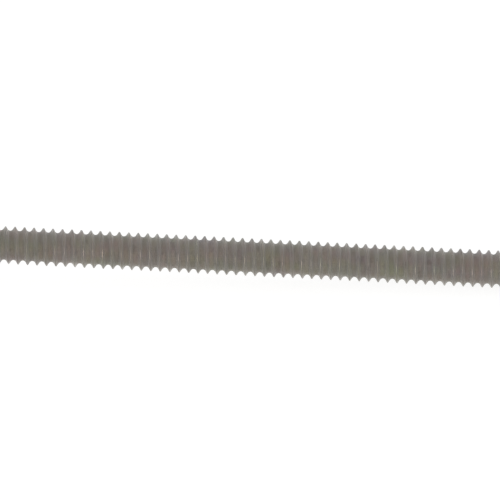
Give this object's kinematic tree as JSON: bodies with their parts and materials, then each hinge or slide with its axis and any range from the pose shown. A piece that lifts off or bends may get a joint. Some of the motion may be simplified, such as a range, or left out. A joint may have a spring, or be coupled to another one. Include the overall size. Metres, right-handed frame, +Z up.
{
  "type": "pan head screw",
  "caption": "Long slim machine screw with a crowned pan head, cross recess, plain neck, right-hand thread along its shank and chamfered tip, lying on its side.",
  "frame": {"origin": "on the surface that the screw lies on, under the middle of its box", "axes": "+X from the head to the tip, level with the surface; +Y across the screw; +Z up. The screw's own axis falls from head to tip by about 2.1 degrees, because it rests on the rim of its head and on its last thread"},
  "size_m": [0.0531, 0.0066, 0.0067],
  "materials": {
    "steel": "dull grey-brown, thread-rolled, with faint uneven tints and lighter crests"
  },
  "bodies": {
    "root": {"screw": "steel"}
  },
  "joints": []
}
